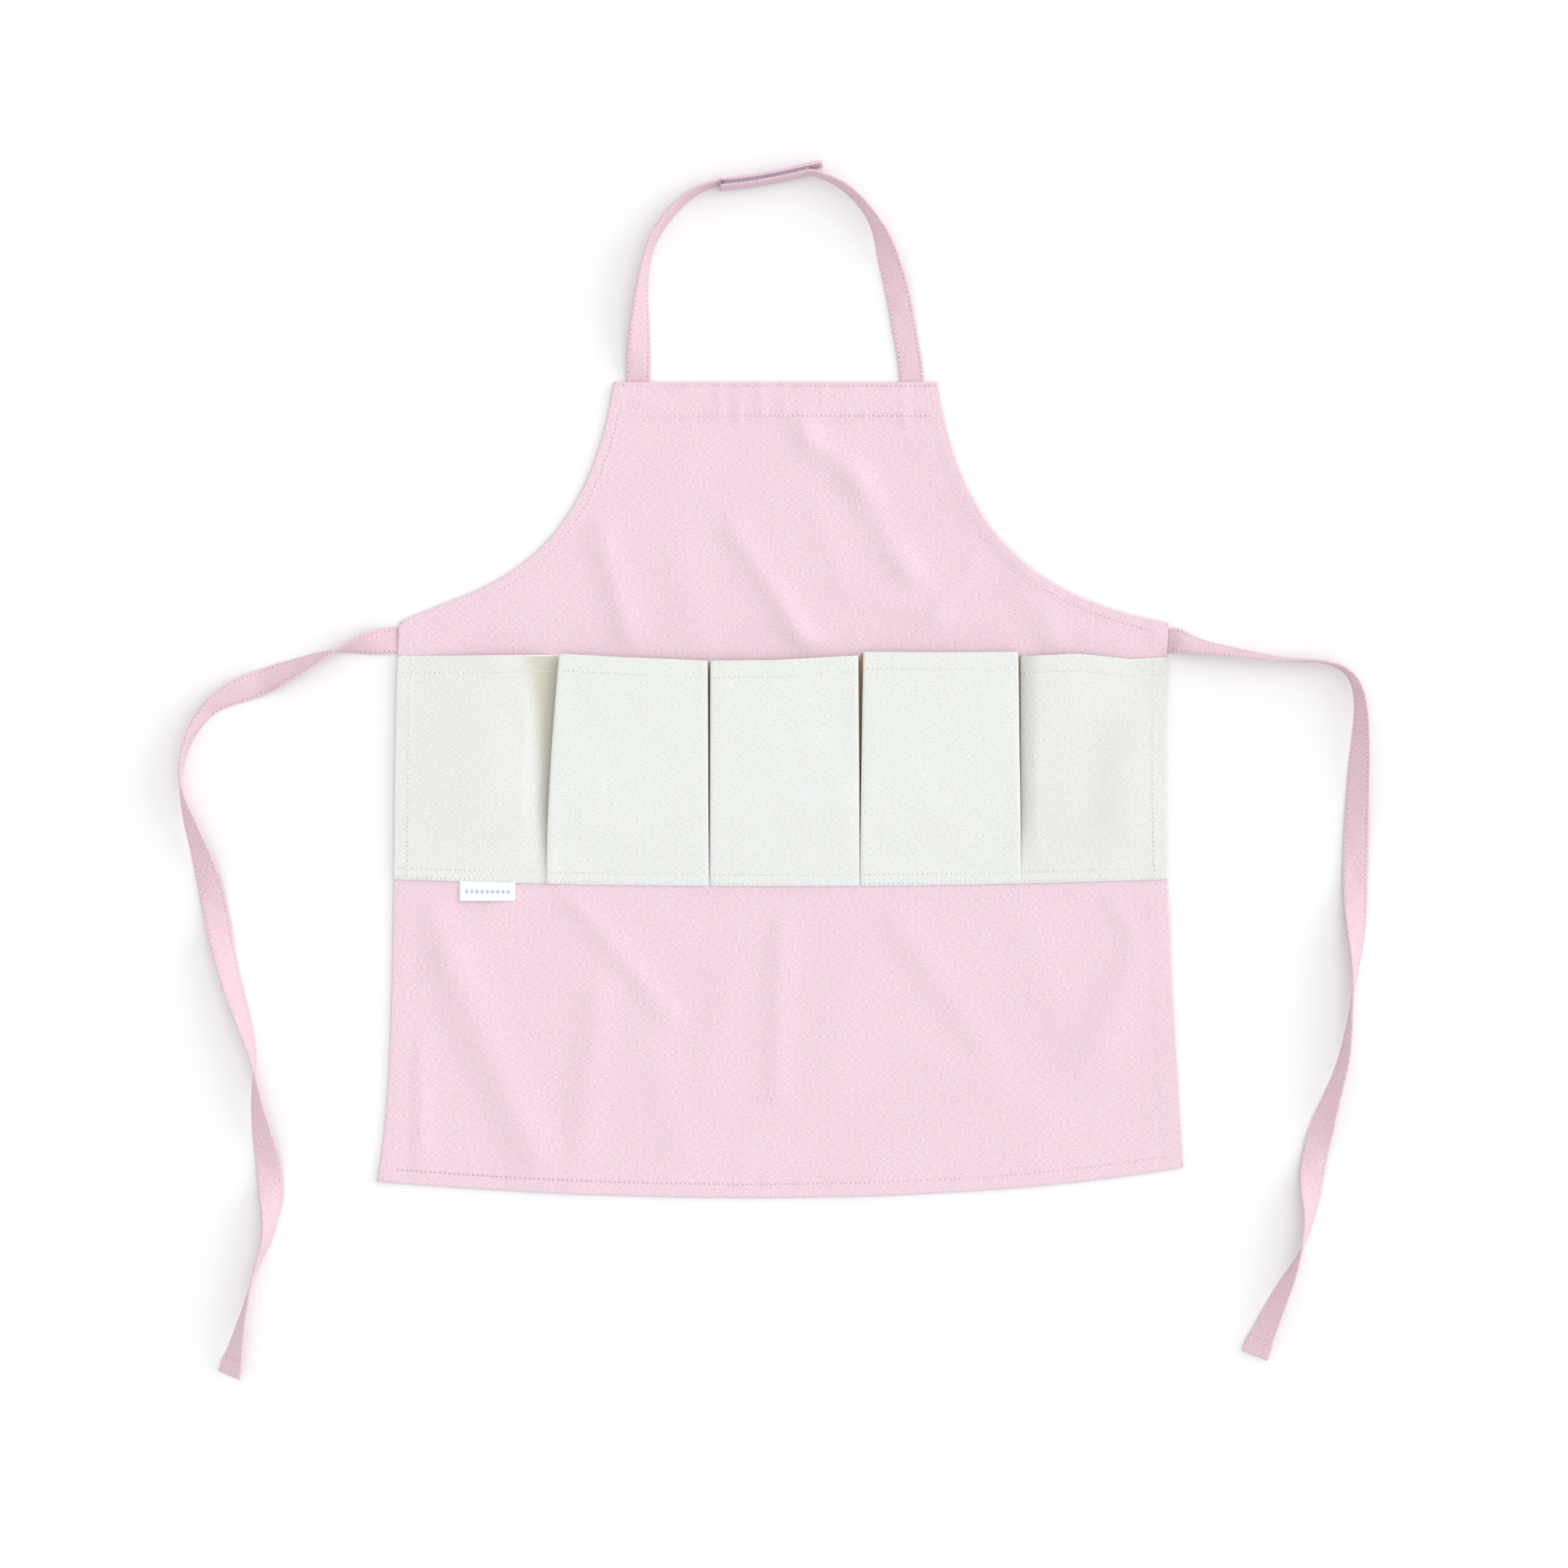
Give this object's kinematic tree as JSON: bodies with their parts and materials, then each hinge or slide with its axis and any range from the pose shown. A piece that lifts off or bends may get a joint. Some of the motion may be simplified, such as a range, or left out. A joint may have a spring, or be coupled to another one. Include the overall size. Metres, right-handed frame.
{
  "type": "artist smock apron",
  "caption": "Child's canvas bib apron laid flat, with a row of pleated and patch pockets, long waist ties and a neck loop that closes with hook-and-loop tape.",
  "frame": {"origin": "middle of the bottom of the box round the apron and its neck loop, without the waist ties, on the surface it lies on", "axes": "+X to the right seen from the front, +Y from the bottom hem towards the bib and the neck loop, +Z out of the front"},
  "size_m": [0.7325, 0.7491, 0.0162],
  "materials": {
    "pink_canvas": "matt cotton canvas with a visible plain weave",
    "natural_canvas": "matt undyed cotton canvas with pale slubs",
    "closure_tape": "hook-and-loop tape",
    "woven_label": "smooth woven ribbon"
  },
  "bodies": {
    "apron": {"main_panel": "pink_canvas", "bib_top_hem": "pink_canvas", "left_armhole_hem": "pink_canvas", "right_armhole_hem": "pink_canvas", "left_side_hem": "pink_canvas", "right_side_hem": "pink_canvas", "bottom_hem": "pink_canvas", "left_strap_sewn_end": "pink_canvas", "right_strap_sewn_end": "pink_canvas", "left_tie_sewn_end": "pink_canvas", "right_tie_sewn_end": "pink_canvas", "pocket_1_front": "natural_canvas", "pocket_1_mouth_hem": "natural_canvas", "pocket_5_front": "natural_canvas", "pocket_5_mouth_hem": "natural_canvas", "pocket_2_gusset_left": "natural_canvas", "pocket_2_gusset_right": "natural_canvas", "pocket_3_gusset_left": "natural_canvas", "pocket_3_gusset_right": "natural_canvas", "pocket_4_gusset_left": "natural_canvas", "pocket_4_gusset_right": "natural_canvas"},
    "left_neck_strap": {"left_neck_strap": "pink_canvas"},
    "closure_tab": {"left_strap_tab": "pink_canvas", "hook_tape": "closure_tape"},
    "right_neck_strap": {"right_neck_strap": "pink_canvas", "right_strap_tab": "pink_canvas", "loop_tape": "closure_tape"},
    "left_tie": {"left_waist_tie": "pink_canvas", "left_tie_end_hem": "pink_canvas"},
    "right_tie": {"right_waist_tie": "pink_canvas", "right_tie_end_hem": "pink_canvas"},
    "pocket_2": {"pocket_2_front": "natural_canvas", "pocket_2_mouth_hem": "natural_canvas"},
    "pocket_3": {"pocket_3_front": "natural_canvas", "pocket_3_mouth_hem": "natural_canvas"},
    "pocket_4": {"pocket_4_front": "natural_canvas", "pocket_4_mouth_hem": "natural_canvas"},
    "label": {"label": "woven_label"}
  },
  "joints": [
    {"name": "neck_left_fold", "type": "hinge", "parent": "apron", "child": "left_neck_strap", "pos_m": [-0.0875, 0.18275, 0.0026], "axis": [1, 0, 0], "range_deg": [0, 110]},
    {"name": "neck_right_fold", "type": "hinge", "parent": "apron", "child": "right_neck_strap", "pos_m": [0.081, 0.18275, 0.0026], "axis": [1, 0, 0], "range_deg": [0, 110]},
    {"name": "closure_peel", "type": "hinge", "parent": "left_neck_strap", "child": "closure_tab", "pos_m": [-0.03707, 0.30574, 0.00774], "axis": [-0.0287, 0.2572, 0.9659], "range_deg": [0, 50]},
    {"name": "tie_left_fold", "type": "hinge", "parent": "apron", "child": "left_tie", "pos_m": [-0.2345, 0.02375, 0.0026], "axis": [0, 1, 0], "range_deg": [0, 100]},
    {"name": "tie_right_fold", "type": "hinge", "parent": "apron", "child": "right_tie", "pos_m": [0.239, 0.02375, 0.0026], "axis": [0, -1, 0], "range_deg": [0, 100]},
    {"name": "pocket_2_open", "type": "hinge", "parent": "apron", "child": "pocket_2", "pos_m": [-0.09125, -0.12425, 0.0026], "axis": [1, 0, 0], "range_deg": [0, 10], "deforming": ["pocket_2_gusset_left", "pocket_2_gusset_right"]},
    {"name": "pocket_3_open", "type": "hinge", "parent": "apron", "child": "pocket_3", "pos_m": [0.00325, -0.12425, 0.0026], "axis": [1, 0, 0], "range_deg": [0, 10], "deforming": ["pocket_3_gusset_left", "pocket_3_gusset_right"]},
    {"name": "pocket_4_open", "type": "hinge", "parent": "apron", "child": "pocket_4", "pos_m": [0.09875, -0.12425, 0.0026], "axis": [1, 0, 0], "range_deg": [0, 10], "deforming": ["pocket_4_gusset_left", "pocket_4_gusset_right"]},
    {"name": "label_flip", "type": "hinge", "parent": "apron", "child": "label", "pos_m": [-0.18, -0.12455, 0.0035], "axis": [-1, 0, 0], "range_deg": [0, 110]}
  ],
  "couplings": [
    {"joint": "neck_right_fold", "follows": "neck_left_fold", "ratio": 1}
  ]
}
